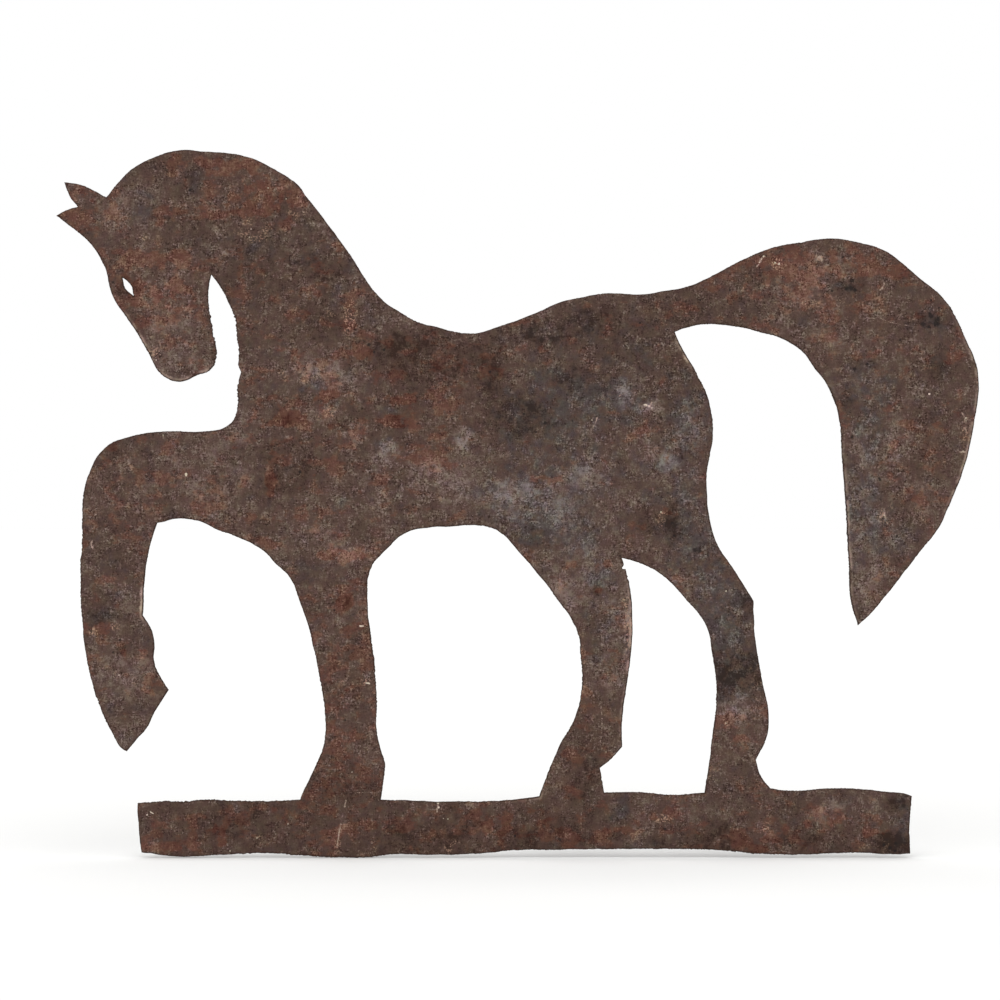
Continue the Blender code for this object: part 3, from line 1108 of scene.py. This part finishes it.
    # Each layer lies on the one before: its colour, how thick it is and what it shows through
    layers = (
        (out["red"], 1.0, ("reddened",)),
        (out["scale"], 1.0, ("scaled",)),
        (out["bloom"], 0.55, ("bloomed",)),
        ((*colours.powder, 1), 0.7, ("powdered", "dusted")),
        ((*colours.pit, 1), 0.8, ("pitted",)),
        # Painted shade: a dark line along the cut edge, where its rounding turns from the light
        ((*colours.brown_dark, 1), 0.75, ("painted_edge_shade",)),
        # Pale line inside the cut edge: partly wear, partly a painted highlight where the edge catches the
        # light
        ((*colours.scratch, 1), 0.8, ("lit_edge", "inside_edge", "worn_and_lit", "unbroken")),
        ((*colours.scratch, 1), 0.8, ("scratched", "unbroken")),
        ((*colours.bare, 1), 0.85, ("knocked",)),
    )
    skin = out["brown"]
    for colour, share, masks in layers:
        for mask in masks:
            sockets = {0: out[mask], 1: share}
            share = add(tree, "ShaderNodeMath", sockets, operation="MULTIPLY").outputs[0]
        sockets = {0: share, 6: skin, 7: colour}
        skin = add(tree, "ShaderNodeMix", sockets, data_type="RGBA").outputs[2]
    stops = ((0.3, colours.mauve_cast), (0.7, colours.green_cast))
    cast = add(tree, "ShaderNodeValToRGB", {0: out["cast"]}, stops).outputs["Color"]
    sockets = {0: 1.0, 6: skin, 7: cast}
    skin = add(tree, "ShaderNodeMix", sockets, data_type="RGBA", blend_type="MULTIPLY").outputs[2]
    tree.links.new(skin, shader.inputs["Base Color"])

    # Scale is a little smoother than dry rust
    sockets = {"Value": out["dryness"], 3: 0.74, 4: 0.92}
    dull = add(tree, "ShaderNodeMapRange", sockets).outputs["Result"]
    tree.links.new(dull, shader.inputs["Roughness"])
    shader.inputs["Specular IOR Level"].default_value = 0.2
    sockets = {"Height": out["height"], "Strength": 0.55, "Distance": 0.5 * MM}
    tree.links.new(add(tree, "ShaderNodeBump", sockets).outputs[0], shader.inputs["Normal"])
    return material


def white_studio_floor():
    """Matt white painted board: pale, even and without a shine."""
    material = bpy.data.materials.new("matt_white_board")
    material.use_nodes = True
    shader = material.node_tree.nodes["Principled BSDF"]
    shader.inputs["Base Color"].default_value = (*hex_colour("EBEBEA"), 1)
    shader.inputs["Roughness"].default_value = 1.0
    shader.inputs["Specular IOR Level"].default_value = 0.0
    return material


class WEATHERVANE_OT_sheet(bpy.types.Operator):
    """Cut the horse and its bar from the sheet and weather them"""

    bl_idname = "weathervane.sheet"
    bl_label = "Horse and bar"

    def execute(self, context):
        scene = context.scene
        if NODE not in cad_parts:
            raise RuntimeError("the packed frame has no sheet to cut")
        sheet = bpy.data.objects.new("horse_sheet", build_sheet(scene.vane_sheet))
        sheet.data.materials.append(rusted_sheet_iron(scene.vane_rust))
        scene.collection.objects.link(sheet)
        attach(sheet, "root")
        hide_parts(NODE)
        return {"FINISHED"}


class WEATHERVANE_OT_stage(bpy.types.Operator):
    """Set up the pale floor, the soft light and the camera"""

    bl_idname = "weathervane.stage"
    bl_label = "Studio"

    def execute(self, context):
        scene = context.scene
        settings = scene.vane_stage
        low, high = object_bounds()
        self.lay_floor(scene, settings, low.z)
        self.light(scene, settings)
        self.aim_camera(scene, settings)
        return {"FINISHED"}

    def lay_floor(self, scene, settings, height):
        half = settings.floor_size / 2
        corners = [(-half, -half, height), (half, -half, height), (half, half, height), (-half, half, height)]
        mesh = bpy.data.meshes.new("studio_floor")
        mesh.from_pydata(corners, [], [(0, 1, 2, 3)])
        mesh.materials.append(white_studio_floor())
        floor = bpy.data.objects.new("studio_floor", mesh)
        scene.collection.objects.link(floor)
        floor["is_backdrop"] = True

    def light(self, scene, settings):
        world = bpy.data.worlds.new("white_room")
        world.use_nodes = True
        sky = world.node_tree.nodes["Background"]
        sky.inputs["Color"].default_value = (1, 1, 1, 1)
        # The camera sees a plain white wall, whatever light the room gives
        seen = add(world.node_tree, "ShaderNodeLightPath").outputs["Is Camera Ray"]
        sockets = {"Value": seen, 3: settings.sky_strength, 4: 1.0}
        strength = add(world.node_tree, "ShaderNodeMapRange", sockets).outputs["Result"]
        world.node_tree.links.new(strength, sky.inputs["Strength"])
        scene.world = world
        lamp = bpy.data.lights.new("key_light", "SUN")
        lamp.energy = settings.key_strength
        lamp.angle = settings.key_spread
        key = bpy.data.objects.new("key_light", lamp)
        tilt, turn = math.radians(18), math.radians(-25)
        key.rotation_euler = (tilt, 0, turn)
        scene.collection.objects.link(key)
        scene.view_settings.view_transform = "Standard"
        scene.view_settings.look = "None"

    def aim_camera(self, scene, settings):
        """Level and square on to the front face, with a frame one metre wide."""
        frame_width = 1.0
        camera = bpy.data.cameras.new("camera")
        camera.lens = settings.lens
        camera.sensor_width = 36
        away = frame_width * settings.lens / camera.sensor_width
        across, up = on_sheet(PICTURE_MIDDLE, PICTURE_MIDDLE)
        eye = bpy.data.objects.new("camera", camera)
        eye.location = (across, cad_box[0].y - away, up)
        eye.rotation_euler = (math.pi / 2, 0, 0)
        scene.collection.objects.link(eye)
        scene.camera = eye


class WEATHERVANE_PT_panel(bpy.types.Panel):
    """Lists the weathervane's pieces and settings"""

    bl_idname = "WEATHERVANE_PT_panel"
    bl_label = "Horse Weathervane"
    bl_space_type = "VIEW_3D"
    bl_region_type = "UI"
    bl_category = "Weathervane"

    def draw(self, context):
        layout = self.layout
        for operator in (WEATHERVANE_OT_sheet, WEATHERVANE_OT_stage):
            layout.operator(operator.bl_idname)
        for group in (context.scene.vane_sheet, context.scene.vane_rust, context.scene.vane_stage):
            box = layout.box()
            for name in group.__annotations__:
                box.prop(group, name)


SETTINGS = {"vane_sheet": SheetSettings, "vane_rust": RustSettings, "vane_stage": StageSettings}
CLASSES = (*SETTINGS.values(), WEATHERVANE_OT_sheet, WEATHERVANE_OT_stage, WEATHERVANE_PT_panel)


def register():
    for each in CLASSES:
        bpy.utils.register_class(each)
    for name, group in SETTINGS.items():
        setattr(bpy.types.Scene, name, bpy.props.PointerProperty(type=group))


def unregister():
    for name in SETTINGS:
        delattr(bpy.types.Scene, name)
    for each in reversed(CLASSES):
        bpy.utils.unregister_class(each)


def main():
    register()
    bpy.ops.weathervane.sheet()
    bpy.ops.weathervane.stage()


if __name__ == "__main__":
    main()
